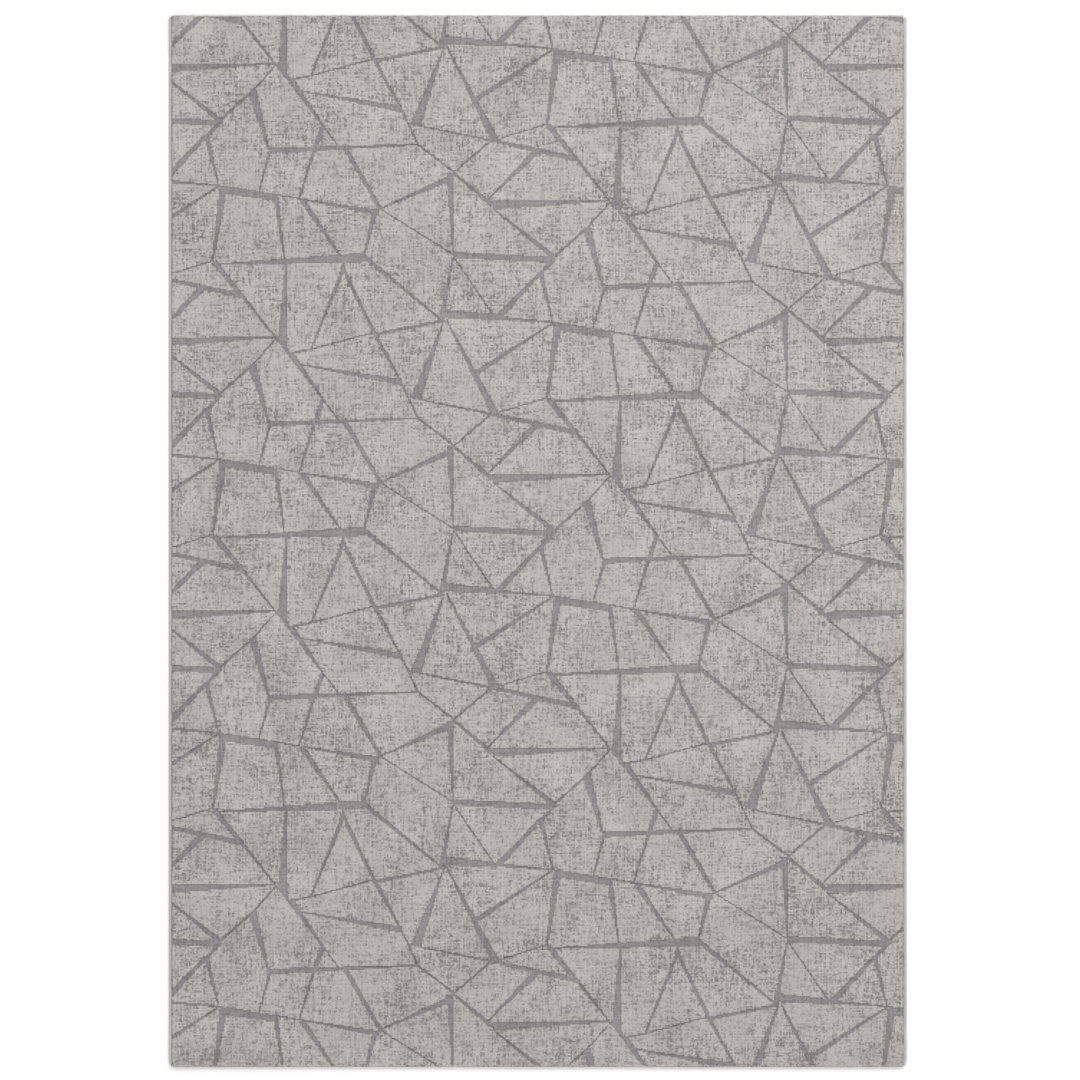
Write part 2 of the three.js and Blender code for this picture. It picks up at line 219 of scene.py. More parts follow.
def closed_sheet(top, bottom):
    """(points, quads) of a sheet from two rows by columns by 3 grids of points: the top, the bottom facing
    down, and a rim along each of the four edges."""
    rows, columns = top.shape[:2]
    under = rows * columns
    upper = grid_quads(rows, columns)
    index = np.arange(under).reshape(rows, columns)
    rims = []
    edges = ((index[0], False), (index[-1], True), (index[:, 0], True), (index[:, -1], False))
    for line, turned in edges:
        rim = np.stack([line[:-1] + under, line[1:] + under, line[1:], line[:-1]], -1)
        rims.append(rim[:, ::-1] if turned else rim)
    points = np.concatenate([top.reshape(-1, 3), bottom.reshape(-1, 3)])
    return points, np.concatenate([upper, upper[:, ::-1] + under, *rims])


def used_only(points, quads):
    """The same faces with only the points that they use."""
    used, corners = np.unique(quads, return_inverse=True)
    return points[used], corners.reshape(quads.shape)


def joined(parts):
    """One (points, quads) from several."""
    points, quads, first = [], [], 0
    for some_points, some_quads in parts:
        points.append(some_points)
        quads.append(some_quads + first)
        first += len(some_points)
    return np.concatenate(points), np.concatenate(quads)


def own_cells(quads):
    """A map that gives each face a cell of its own in a square grid, a little apart from the next."""
    across = int(np.ceil(np.sqrt(len(quads))))
    number = np.arange(len(quads))[:, None]
    u = number % across + np.array([0.1, 0.9, 0.9, 0.1])
    v = number // across + np.array([0.1, 0.1, 0.9, 0.9])
    return np.stack([u, v], -1) / across


def round_map(rows, columns, turned):
    """A map for a tube of rows of points: round it from left to right, and along it upwards."""
    row = np.arange(rows - 1)[:, None, None]
    column = np.arange(columns)[None, :, None]
    shape = (rows - 1, columns, 4)
    u = np.broadcast_to((column + np.array([0, 1, 1, 0])) / columns, shape)
    v = np.broadcast_to((row + np.array([0, 0, 1, 1])) / (rows - 1), shape)
    uv = np.stack([u, v], -1).reshape(-1, 4, 2)
    return uv[:, ::-1] if turned else uv


def place(piece, slot, *nodes):
    """The piece rides on the rug and stands for the nodes. The slot is not used."""
    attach(piece, "root")
    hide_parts(*nodes)
    return piece


# ---- Materials ----


def linear(hex_colour):
    """An sRGB hex colour as linear red, green, blue and alpha."""
    srgb = [int(hex_colour[i : i + 2], 16) / 255 for i in (1, 3, 5)]
    return [c / 12.92 if c <= 0.04045 else ((c + 0.055) / 1.055) ** 2.4 for c in srgb] + [1.0]


def add_node(tree, kind, inputs=None, **settings):
    """Adds a shader node with its settings. An input is a value, a socket, or a node for its first output."""
    made = tree.nodes.new("ShaderNode" + kind)
    for key, value in settings.items():
        setattr(made, key, value)
    for socket, value in (inputs or {}).items():
        source = value.outputs[0] if isinstance(value, bpy.types.Node) else value
        if isinstance(source, bpy.types.NodeSocket):
            tree.links.new(source, made.inputs[socket])
        else:
            made.inputs[socket].default_value = source
    return made


def new_material(name):
    """A material with an empty tree, and the tree."""
    material = bpy.data.materials.new(name)
    material.use_nodes = True
    material.node_tree.nodes.clear()
    return material, material.node_tree


def tuft_counts(tree, pitch, stray=0.0):
    """Object coordinates counted in tufts, as the whole vector, across and along. With stray they move by
    noise, so that no border is straight."""
    place_of = add_node(tree, "TexCoord").outputs["Object"]
    vector = add_node(tree, "VectorMath", {0: place_of, "Scale": 1 / pitch}, operation="SCALE")
    if stray:
        noise = add_node(tree, "TexNoise", {"Vector": vector, "Scale": 1.3, "Roughness": 0.7})
        shift = add_node(
            tree, "VectorMath", {0: noise.outputs["Color"], 1: (0.5, 0.5, 0.5)}, operation="SUBTRACT"
        )
        vector = add_node(
            tree, "VectorMath", {0: shift, 1: (stray, stray, 0.0), 2: vector}, operation="MULTIPLY_ADD"
        )
    split = add_node(tree, "SeparateXYZ", {0: vector})
    return vector, split.outputs[0], split.outputs[1]


def dashes(tree, run, lane, length, seed):
    """Random shades in dashes: each lane of tufts is cut into runs of one shade, from a start of its own."""
    lane_number = add_node(tree, "Math", {0: lane}, operation="FLOOR")
    lane_seed = add_node(tree, "Math", {0: lane_number, 1: seed}, operation="ADD")
    lane_start = add_node(tree, "TexWhiteNoise", {"W": lane_seed}, noise_dimensions="1D")
    shifted = add_node(tree, "Math", {0: lane_start, 1: length, 2: run}, operation="MULTIPLY_ADD")
    dash = add_node(tree, "Math", {0: shifted, 1: 1 / length}, operation="MULTIPLY")
    dash_number = add_node(tree, "Math", {0: dash}, operation="FLOOR")
    cell = add_node(tree, "CombineXYZ", {0: dash_number, 1: lane_number, 2: seed})
    return add_node(tree, "TexWhiteNoise", {"Vector": cell})


def tuft_domes(tree, across, along):
    """Height of the cut tufts: the product of half a sine across and half a sine along each one."""
    waves = []
    for count in (across, along):
        share = add_node(tree, "Math", {0: count}, operation="FRACT")
        angle = add_node(tree, "Math", {0: share, 1: np.pi}, operation="MULTIPLY")
        waves.append(add_node(tree, "Math", {0: angle}, operation="SINE"))
    return add_node(tree, "Math", {0: waves[0], 1: waves[1]}, operation="MULTIPLY")


def melange_yarn(name, dark, middle, light, warm, pitch, threshold):
    """Cut pile of heat-set polypropylene: fibres of several greys, blended before spinning. The yarn changes
    shade every few tufts along the loom and across it, which gives the eye a linen-like crosshatch of short
    dashes. Tips are matt with a faint sheen, and the gaps between tufts are painted darker: painted shade."""
    material, tree = new_material(name)
    vector, across, along = tuft_counts(tree, pitch, stray=1.5)
    tuft = add_node(tree, "VectorMath", {0: vector}, operation="FLOOR")
    flat_tuft = add_node(tree, "VectorMath", {0: tuft, 1: (1, 1, 0)}, operation="MULTIPLY")
    blend = add_node(tree, "TexNoise", {"Vector": vector, "Scale": pitch / (120 * MM), "Detail": 3.0})
    tone = add_node(tree, "Math", {0: blend, 1: 0.6, 2: -0.3}, operation="MULTIPLY_ADD")
    shares = (
        (dashes(tree, across, along, 7.0, 3.0), 0.29),
        (dashes(tree, along, across, 8.0, 11.0), 0.29),
        (add_node(tree, "TexWhiteNoise", {"Vector": flat_tuft}), 0.42),
    )
    for shade, share in shares:
        tone = add_node(tree, "Math", {0: shade, 1: share, 2: tone}, operation="MULTIPLY_ADD")
    ramp = add_node(tree, "ValToRGB", {0: tone})
    ramp.color_ramp.elements[0].position = threshold - 0.2
    ramp.color_ramp.elements[0].color = dark
    ramp.color_ramp.elements[1].position = threshold + 0.3
    ramp.color_ramp.elements[1].color = light
    ramp.color_ramp.elements.new(threshold + 0.02).color = middle
    patches = add_node(tree, "TexNoise", {"Vector": vector, "Scale": pitch / (100 * MM)})
    warmth = add_node(
        tree, "MapRange", {"Value": patches, "From Min": 0.45, "From Max": 0.54, "To Min": 0.0, "To Max": 0.2}
    )
    colour = add_node(tree, "Mix", {0: warmth, 6: ramp, 7: warm}, data_type="RGBA").outputs[2]
    dome = tuft_domes(tree, across, along)
    fibres = add_node(tree, "TexNoise", {"Vector": vector, "Scale": pitch / (0.6 * MM), "Roughness": 0.7})
    # Painted shade: each tuft's colour darkens towards its edges, standing in for shade in the gaps between
    # tufts.
    painted_gap_shade = add_node(
        tree, "Math", {0: dome, 1: 0.55, 2: 0.74}, operation="MULTIPLY_ADD", use_clamp=True
    )
    fibre_shade = add_node(tree, "Math", {0: fibres, 1: 0.24, 2: 0.9}, operation="MULTIPLY_ADD")
    shade = add_node(tree, "Math", {0: painted_gap_shade, 1: fibre_shade}, operation="MULTIPLY")
    shaded = add_node(tree, "VectorMath", {0: colour, "Scale": shade}, operation="SCALE")
    height = add_node(tree, "Math", {0: fibres, 1: 0.5, 2: dome}, operation="MULTIPLY_ADD")
    bump = add_node(tree, "Bump", {"Strength": 0.8, "Distance": 1.1 * MM, "Height": height})
    roughness = add_node(tree, "Math", {0: fibres, 1: 0.2, 2: 0.72}, operation="MULTIPLY_ADD")
    shader = add_node(tree, "BsdfPrincipled", {
        "Base Color": shaded,
        "Roughness": roughness,
        "IOR": 1.49,
        "Sheen Weight": 0.15,
        "Sheen Roughness": 0.5,
        "Normal": bump,
    })
    add_node(tree, "OutputMaterial", {"Surface": shader})
    return material


def spun_polyester(name, dark, light, pitch):
    """Overlock yarn of spun polyester: smooth, tightly laid and satin, so its wraps catch a soft light. Each
    wrap has a shade of its own, and slanting bands show the yarn's plies. The wraps are painted darker down
    their outer flank, which faces away from the light: painted shade."""
    painted_shade_below, unshaded_above = 2.8 * MM, 5.4 * MM
    material, tree = new_material(name)
    vector, _, along = tuft_counts(tree, pitch)
    wrap_number = add_node(tree, "Math", {0: along}, operation="FLOOR")
    wrap = add_node(tree, "TexWhiteNoise", {"W": wrap_number}, noise_dimensions="1D")
    height = add_node(tree, "SeparateXYZ", {0: add_node(tree, "TexCoord").outputs["Object"]}).outputs[2]
    # Painted shade: the colour darkens low down each wrap's outer flank, where it faces away from the light.
    painted_flank_shade = add_node(
        tree,
        "MapRange",
        {"Value": height, "From Min": painted_shade_below, "From Max": unshaded_above, "To Min": 0.66, "To Max": 1.0},
    )
    slow = add_node(tree, "TexNoise", {"Vector": vector, "Scale": pitch / (50 * MM), "Detail": 3.0})
    slow_share = add_node(tree, "Math", {0: slow, 1: 0.65}, operation="MULTIPLY")
    shade = add_node(tree, "Math", {0: wrap, 1: 0.35, 2: slow_share}, operation="MULTIPLY_ADD")
    colour = add_node(tree, "Mix", {0: shade, 6: dark, 7: light}, data_type="RGBA").outputs[2]
    flank_shaded_colour = add_node(tree, "VectorMath", {0: colour, "Scale": painted_flank_shade.outputs[0]}, operation="SCALE")
    plies = add_node(
        tree,
        "TexWave",
        {"Vector": vector, "Scale": WAVE_SPACING * pitch / (0.56 * MM), "Distortion": 1.5, "Detail": 1.0},
        bands_direction="DIAGONAL",
    )
    bump = add_node(tree, "Bump", {"Strength": 0.35, "Distance": 0.2 * MM, "Height": plies})
    shader = add_node(tree, "BsdfPrincipled", {
        "Base Color": flank_shaded_colour,
        "Roughness": 0.62,
        "IOR": 1.57,
        "Sheen Weight": 0.1,
        "Normal": bump,
    })
    add_node(tree, "OutputMaterial", {"Surface": shader})
    return material


def plain_weave(name, dark, light, across_pitch, along_pitch, roughness, depth):
    """Plain-woven or twisted yarn, such as jute weft, spun warp, cord or tape: rows of short over-and-under
    crowns, with slubs and shade changes along each yarn, and hairy matt fibres. The hollows between the
    crowns are painted darker: painted shade."""
    material, tree = new_material(name)
    place_of = add_node(tree, "TexCoord").outputs["Object"]
    counts = (1 / across_pitch, 1 / along_pitch, 1 / along_pitch)
    vector = add_node(tree, "VectorMath", {0: place_of, 1: counts}, operation="MULTIPLY")
    split = add_node(tree, "SeparateXYZ", {0: vector})
    across, along = split.outputs[0], split.outputs[1]
    row = add_node(tree, "Math", {0: along}, operation="FLOOR")
    staggered = add_node(tree, "Math", {0: row, 1: 0.5, 2: across}, operation="MULTIPLY_ADD")
    crowns = tuft_domes(tree, staggered, along)
    slubs = add_node(tree, "TexNoise", {"Vector": vector, "Scale": 0.6, "Detail": 4.0})
    shade = add_node(tree, "Math", {0: slubs, 1: 0.4}, operation="MULTIPLY")
    # The crowns' share makes crown tops lighter and the hollows between them darker: painted shade.
    for part, share in ((dashes(tree, across, along, 7.0, 5.0), 0.4), (crowns, 0.3)):
        shade = add_node(tree, "Math", {0: part, 1: share, 2: shade}, operation="MULTIPLY_ADD")
    colour = add_node(tree, "Mix", {0: shade, 6: dark, 7: light}, data_type="RGBA").outputs[2]
    bump = add_node(tree, "Bump", {"Strength": 0.8, "Distance": depth, "Height": crowns})
    shader = add_node(tree, "BsdfPrincipled", {
        "Base Color": colour,
        "Roughness": roughness,
        "IOR": 1.5,
        "Normal": bump,
    })
    add_node(tree, "OutputMaterial", {"Surface": shader})
    return material


def latex_coat(name, jute, latex, pitch):
    """A thin latex coat rolled on the back: translucent, so the brown weft ribs show through where it is
    thin, with a dull rubbery shine."""
    material, tree = new_material(name)
    vector, across, along = tuft_counts(tree, pitch)
    paired = add_node(tree, "Math", {0: across, 1: 0.5}, operation="MULTIPLY")
    ribs = tuft_domes(tree, paired, along)
    smears = add_node(tree, "TexNoise", {"Vector": vector, "Scale": pitch / (20 * MM), "Detail": 5.0})
    thin = add_node(tree, "Math", {0: ribs, 1: -0.35}, operation="MULTIPLY")
    share = add_node(tree, "Math", {0: smears, 1: 1.1, 2: thin}, operation="MULTIPLY_ADD")
    colour = add_node(tree, "Mix", {0: share, 6: jute, 7: latex}, data_type="RGBA").outputs[2]
    bump = add_node(tree, "Bump", {"Strength": 0.6, "Distance": 0.4 * MM, "Height": ribs})
    roughness = add_node(tree, "Math", {0: smears, 1: 0.3, 2: 0.35}, operation="MULTIPLY_ADD")
    shader = add_node(tree, "BsdfPrincipled", {
        "Base Color": colour,
        "Roughness": roughness,
        "IOR": 1.52,
        "Normal": bump,
    })
    add_node(tree, "OutputMaterial", {"Surface": shader})
    return material


def hot_melt(name, thick, thin):
    """Amber hot-melt glue, extruded in a strip and pressed flat: glossy, lighter where it is thin, with flow
    marks about 11 mm across."""
    material, tree = new_material(name)
    place_of = add_node(tree, "TexCoord").outputs["Object"]
    flow = add_node(tree, "TexNoise", {"Vector": place_of, "Scale": 1 / (11 * MM), "Detail": 3.0})
    colour = add_node(tree, "Mix", {0: flow, 6: thick, 7: thin}, data_type="RGBA").outputs[2]
    bump = add_node(tree, "Bump", {"Strength": 0.4, "Distance": 0.3 * MM, "Height": flow})
    shader = add_node(tree, "BsdfPrincipled", {
        "Base Color": colour,
        "Roughness": 0.28,
        "IOR": 1.48,
        "Normal": bump,
    })
    add_node(tree, "OutputMaterial", {"Surface": shader})
    return material


def satin_ribbon(name, shade, cloth):
    """White polyester satin ribbon, cut with a hot knife: long floats along its length give a soft shine,
    painted into the colour as lighter and darker bands: painted sheen and shade. The floats are drawn 1 mm
    apart, coarser than real ones, so that they show."""
    material, tree = new_material(name)
    place_of = add_node(tree, "TexCoord").outputs["Object"]
    floats = add_node(
        tree,
        "TexWave",
        {"Vector": place_of, "Scale": WAVE_SPACING / (1.0 * MM), "Distortion": 0.6},
        bands_direction="Y",
    )
    # The floats' bands lighten and darken the colour: painted sheen and shade.
    colour = add_node(tree, "Mix", {0: floats, 6: shade, 7: cloth}, data_type="RGBA").outputs[2]
    bump = add_node(tree, "Bump", {"Strength": 0.3, "Distance": 0.1 * MM, "Height": floats})
    shader = add_node(tree, "BsdfPrincipled", {
        "Base Color": colour,
        "Roughness": 0.4,
        "IOR": 1.57,
        "Normal": bump,
    })
    add_node(tree, "OutputMaterial", {"Surface": shader})
    return material


def seamless_paper(name, colour):
    """Matt white backdrop paper: even, with a grain too fine to show."""
    material, tree = new_material(name)
    shader = add_node(tree, "BsdfPrincipled", {
        "Base Color": colour,
        "Roughness": 0.95,
        "Specular IOR Level": 0.1,
    })
    add_node(tree, "OutputMaterial", {"Surface": shader})
    return material


# ---- Sizes and colours that a user would change ----


def length_property(name, description, default):
    """A length that a user may change."""
    return bpy.props.FloatProperty(name=name, description=description, default=default, unit="LENGTH")


def count_property(name, description, default):
    """A number that a user may change, at least one."""
    return bpy.props.IntProperty(name=name, description=description, default=default, min=1)


def colour_property(name, description, hex_colour):
    """A colour that a user may change."""
    return bpy.props.FloatVectorProperty(
        name=name, description=description, subtype="COLOR", size=4, default=linear(hex_colour)
    )


class RugSizes(bpy.types.PropertyGroup):
    """Sizes of tufts and yarn"""

    tuft_pitch: length_property("Tuft pitch", "Distance between tufts", 3.125 * MM)
    tuft_unevenness: length_property("Unevenness", "How far tuft tips differ in height", 0.32 * MM)
    edge_drop: length_property("Edge drop", "How far the tufts beside a line sink", 0.9 * MM)
    edge_splay: length_property("Edge splay", "How far the tufts beside a line lean into it", 0.35 * MM)
    line_prop: length_property(
        "Line prop", "How far a tuft of a line is held up by field tufts round it", 2.0 * MM
    )
    field_strips: count_property("Field strips", "Lengthwise strips that the field pile is made in", 5)
    line_strips: count_property("Line strips", "Lengthwise strips that the line pile is made in", 3)
    wrap_pitch: length_property("Serging pitch", "Distance between wraps of the serging", 2.5 * MM)
    yarn_thickness: length_property("Serging yarn", "Thickness of the flattened serging yarn", 0.9 * MM)


class RugColours(bpy.types.PropertyGroup):
    """Colours of the yarns that show"""

    field_dark: colour_property("Field dark", "Darkest field yarn", "#7d7977")
    field_middle: colour_property("Field middle", "Usual field yarn", "#a8a4a1")
    field_light: colour_property("Field light", "Lightest field yarn", "#c4c0bc")
    field_warm: colour_property("Field warm", "Warm patches of the field yarn", "#a89c99")
    line_dark: colour_property("Line dark", "Darkest line yarn", "#817d7d")
    line_light: colour_property("Line light", "Lightest line yarn", "#9f9b9c")
    line_warm: colour_property("Line warm", "Warm patches of the line yarn", "#867d7d")
    serging_dark: colour_property("Serging dark", "Darkest wraps of the serging", "#b5b4b2")
    serging_light: colour_property("Serging light", "Lightest wraps of the serging", "#cac9c7")


def colours():
    """The colours as they are set."""
    return bpy.context.scene.rug_colours


def sizes():
    """The sizes as they are set."""
    return bpy.context.scene.rug_sizes


# ---- Pile ----


def tuft_grid():
    """(columns, rows) of tufts that fill the pile."""
    pitch = sizes().tuft_pitch
    return round(2 * PILE_HALF_WIDTH / pitch), round(2 * PILE_HALF_LENGTH / pitch)


def line_tufts(columns, rows):
    """Which tufts belong to the lines, as a rows by columns array.

    A tuft does if its middle lies under the tops of the line pile. Along a row of tuft middles, each edge of
    a top triangle that crosses the row flips everything past the crossing. An edge between two of the
    triangles flips it twice, so only the outline counts.
    """
    corners = node_triangles("line_pile")
    normal = np.cross(corners[:, 1] - corners[:, 0], corners[:, 2] - corners[:, 0])
    upward = normal[:, 2] > 0.5 * np.linalg.norm(normal, axis=1)
    middle = corners.mean(axis=1)
    flat_rise = HEM_RISE * np.clip((np.abs(middle[:, 1]) - RAMP_FOOT) / (RAW_EDGE - RAMP_FOOT), 0, 1)
    past_fold = np.clip(np.abs(middle[:, 1]) - FOLD_Y, 0, None)
    high = middle[:, 2] - flat_rise + past_fold > (ROOT_LEVEL + LINE_LEVEL) / 2
    tops = corners[upward & high]
    start = tops.reshape(-1, 3)[:, :2]
    end = np.roll(tops, -1, axis=1).reshape(-1, 3)[:, :2]
    row_s = (np.arange(rows) + 0.5) / rows * 2 * PILE_HALF_LENGTH - PILE_HALF_LENGTH
    row_y = along_web(row_s, FIELD_LEVEL, TIP_RADIUS)[0]
    first = np.searchsorted(row_y, np.minimum(start[:, 1], end[:, 1]))
    last = np.searchsorted(row_y, np.maximum(start[:, 1], end[:, 1]))
    count = last - first
    edge = np.repeat(np.arange(len(count)), count)
    row = np.arange(count.sum()) - np.repeat(np.cumsum(count) - count, count) + first[edge]
    share = (row_y[row] - start[edge, 1]) / (end[edge, 1] - start[edge, 1])
    x = start[edge, 0] + share * (end[edge, 0] - start[edge, 0])
    pitch = 2 * PILE_HALF_WIDTH / columns
    column = np.clip(np.ceil((x + PILE_HALF_WIDTH) / pitch - 0.5), 0, columns).astype(int)
    flips = np.zeros((rows, columns + 1), dtype=int)
    np.add.at(flips, (row, column), 1)
    return np.cumsum(flips, axis=1)[:, :columns] % 2 == 1


def smooth_random(generator, rows, columns, reach):
    """A random field from -1 to 1 that changes over reach tufts: coarse random values, joined straight."""
    coarse = generator.uniform(-1, 1, (rows // reach + 3, columns // reach + 3))
    down = np.arange(rows) / reach
    right = np.arange(columns) / reach
    r, c = down.astype(int)[:, None], right.astype(int)[None, :]
    fr, fc = (down % 1)[:, None], (right % 1)[None, :]
    low = coarse[r, c] * (1 - fc) + coarse[r, c + 1] * fc
    high = coarse[r + 1, c] * (1 - fc) + coarse[r + 1, c + 1] * fc
    return low * (1 - fr) + high * fr


def around_corners(cells):
    """For a rows by columns array of cells: the sums over the four cells round each corner, of one, of the
    cell's side across (-1 or 1) and of its side along."""
    padded = np.pad(cells.astype(float), 1)
    low_left, low_right = padded[:-1, :-1], padded[:-1, 1:]
    high_left, high_right = padded[1:, :-1], padded[1:, 1:]
    total = low_left + low_right + high_left + high_right
    across = low_right + high_right - low_left - high_left
    along = high_left + high_right - low_left - low_right
    return total, across, along


def pile_corners(level, drop, splay, is_other, seed):
    """Corner points of the tufts at a level, as a (rows + 1) by (columns + 1) by 3 array.

    Each is moved at random, sinks by drop times the share of other cells round it, at most half, and leans
    towards them."""
    rows, columns = is_other.shape
    generator = np.random.default_rng(seed)
    shape = (rows + 1, columns + 1)
    total, across, along = around_corners(is_other)
    loose = sizes().tuft_unevenness
    bob = np.clip(generator.normal(0, 1, shape), -2, 2) * loose
    swell = smooth_random(generator, *shape, 24) * loose
    height = level + bob + swell - drop * np.minimum(total, 2) / 4
    x = np.linspace(-PILE_HALF_WIDTH, PILE_HALF_WIDTH, columns + 1)[None, :]
    s = np.linspace(-PILE_HALF_LENGTH, PILE_HALF_LENGTH, rows + 1)[:, None]
    x = x + across * splay / 2 + generator.uniform(-1, 1, shape) * loose
    s = s + along * splay / 2 + generator.uniform(-1, 1, shape) * loose
    s = np.clip(s, -PILE_HALF_LENGTH, PILE_HALF_LENGTH)
    y, z = along_web(s, height, TIP_RADIUS)
    return np.stack([x, y, z], -1)


def corner_numbers(row, column, columns):
    """Number of the corner at a row and column, with one corner more than columns in each row."""
    return row * (columns + 1) + column


def cell_tops(cells):
    """Corners of the top faces of the chosen cells, and the column of each."""
    row, column = np.nonzero(cells)
    columns = cells.shape[1]
    quads = np.stack([
        corner_numbers(row, column, columns),
        corner_numbers(row, column + 1, columns),
        corner_numbers(row + 1, column + 1, columns),
        corner_numbers(row + 1, column, columns),
    ], -1)
    return quads, column


def cell_walls(cells, below):
    """Walls round the chosen cells where the next cell is in below, facing it.

    Yields the two corners of each wall's edge, from its right end to its left seen from outside, the column
    of the cell, and the way out as a step across and along.
    """
    columns = cells.shape[1]
    padded = np.pad(below, 1)
    for step_x, step_y in ((1, 0), (-1, 0), (0, 1), (0, -1)):
        neighbour = np.roll(padded, (-step_y, -step_x), (0, 1))[1:-1, 1:-1]
        row, column = np.nonzero(cells & neighbour)
        right = max(step_x, 0) + (step_y > 0)
        up = max(step_y, 0) + (step_x < 0)
        first = corner_numbers(row + up, column + right, columns)
        left = max(step_x, 0) + (step_y < 0)
        high = max(step_y, 0) + (step_x > 0)
        second = corner_numbers(row + high, column + left, columns)
        yield first, second, column, (step_x, step_y)


def strip_uv(flat, low_x, high_x):
    """Lays a strip flat on the unit square: its foot half on the left and its head half on the right, so that
    the square's whole width is used."""
    margin = 2 * MM
    part_width, foot_start, head_start = 0.496, 0.002, 0.502
    width = high_x - low_x + 2 * margin
    reach = PILE_HALF_LENGTH + margin
    head = flat[:, :, 1].mean(axis=1)[:, None] > 0
    u = (flat[:, :, 0] - low_x + margin) / width * part_width + np.where(head, head_start, foot_start)
    v = np.where(head, flat[:, :, 1], flat[:, :, 1] + reach) / reach
    return np.stack([u, np.clip(v, 0.001, 0.999)], -1)


def pile_strips(name, count, cells, tops, feet, flat, material, slot, node):
    """Makes the chosen cells as lengthwise strips: their tops, and walls down to the feet.

    tops is the grid of corner points, feet a list of (grid of points, cells that the walls face), and flat
    the corners' places across and along. The map is laid out from flat, and a wall takes a narrow stretch of
    it past its edge.
    """
    rows, columns = cells.shape
    points = [tops.reshape(-1, 3)]
    quads, column = cell_tops(cells)
    flats = [flat.reshape(-1, 2)[quads]]
    all_quads, all_columns = [quads], [column]
    wall_width = 1.2 * MM
    for number, (foot, below) in enumerate(feet):
        points.append(foot.reshape(-1, 3))
        offset = (number + 1) * (rows + 1) * (columns + 1)
        for first, second, wall_column, way_out in cell_walls(cells, below):
            all_quads.append(np.stack([first + offset, second + offset, second, first], -1))
            all_columns.append(wall_column)
            low = np.stack([flat.reshape(-1, 2)[first], flat.reshape(-1, 2)[second]], 1)
            out = low + np.array(way_out) * wall_width
            flats.append(np.concatenate([out, low[:, ::-1]], 1))
    points, quads = np.concatenate(points), np.concatenate(all_quads)
    column, flats = np.concatenate(all_columns), np.concatenate(flats)
    edges = np.linspace(0, columns, count + 1).round().astype(int)
    for number, (start, end) in enumerate(zip(edges[:-1], edges[1:])):
        mine = (column >= start) & (column < end)
        low_x, high_x = flat[0, start, 0], flat[0, end, 0]
        uv = strip_uv(flats[mine], low_x, high_x)
        strip_points, strip_quads = used_only(points, quads[mine])
        strip = mesh_object(f"{name}_{number + 1}", strip_points, strip_quads, material, uv, smooth=False)
        place(strip, slot, node)


def flat_corners(rows, columns):
    """Places of the tufts' corners across and along, with the pile laid flat."""
    x = np.linspace(-PILE_HALF_WIDTH, PILE_HALF_WIDTH, columns + 1)
    s = np.linspace(-PILE_HALF_LENGTH, PILE_HALF_LENGTH, rows + 1)
    return np.stack(np.meshgrid(x, s), -1)


class RUG_OT_pile(bpy.types.Operator):
    """Weaves the tall field pile and the short line pile, tuft by tuft"""

    bl_idname = "rug.pile"
    bl_label = "Pile"

    def execute(self, context):
        columns, rows = tuft_grid()
        lines = line_tufts(columns, rows)
        field = ~lines
        flat = flat_corners(rows, columns)
        size, colour = sizes(), colours()
        tops = pile_corners(FIELD_LEVEL, size.edge_drop, size.edge_splay, lines, SEED)
        sunk = pile_corners(LINE_LEVEL, -size.line_prop, 0.0, field, SEED + 1)
        feet = pile_corners(LINE_LEVEL - WALL_FOOT_DEPTH, 0.0, 0.0, lines, SEED + 2)
        field_yarn = melange_yarn(
            "heat_set_field_yarn", colour.field_dark, colour.field_middle, colour.field_light,
            colour.field_warm, size.tuft_pitch, 0.36,
        )
        line_yarn = melange_yarn(
            "heat_set_line_yarn", colour.line_dark, mid_colour(colour.line_dark, colour.line_light),
            colour.line_light, colour.line_warm, size.tuft_pitch, 0.4,
        )
        pile_strips(
            "field_pile_strip", size.field_strips, field, tops, [(feet, lines)], flat,
            field_yarn, "field_pile_yarn", "field_pile",
        )
        pile_strips(
            "line_pile_strip", size.line_strips, lines, sunk, [], flat,
            line_yarn, "line_pile_yarn", "line_pile",
        )
        edge_tufts(lines, field_yarn, line_yarn)
        return {"FINISHED"}


def mid_colour(first, second):
    """The colour halfway between two."""
    return [(a + b) / 2 for a, b in zip(first, second)]


def outer_tufts(root, tip, width_way, half_root, half_tip):
    """Four-sided tapered tufts from root to tip points, wide along width_way and thick across it.

    Each is a frustum: two rings of four corners, its sides and its tip."""
    axis = tip - root
    axis = axis / np.linalg.norm(axis, axis=1)[:, None]
    thick_way = np.cross(axis, width_way)
    corners = np.array([(-1, -1), (1, -1), (1, 1), (-1, 1)])
    rings = []
    for centre, half in ((root, half_root), (tip, half_tip)):
        wide = corners[None, :, 0, None] * width_way[:, None, :] * half[:, None, None]
        thick = corners[None, :, 1, None] * thick_way[:, None, :] * half[:, None, None]
        rings.append(centre[:, None, :] + wide + thick)
    points = np.concatenate(rings, axis=1).reshape(-1, 3)
    base = np.arange(len(root))[:, None] * 8
    sides = [base + np.array([[k, (k + 1) % 4, 4 + (k + 1) % 4, 4 + k]]) for k in range(4)]
    tips = base + np.array([[4, 5, 6, 7]])
    return points, np.concatenate(sides + [tips])


def edge_kinds(is_line):
    """For a row of edge tufts: each yarn's name, the level of its tips, and which tufts are its own."""
    return ("field", FIELD_LEVEL - EDGE_TUFT_DROP, ~is_line), ("line", LINE_LEVEL, is_line)


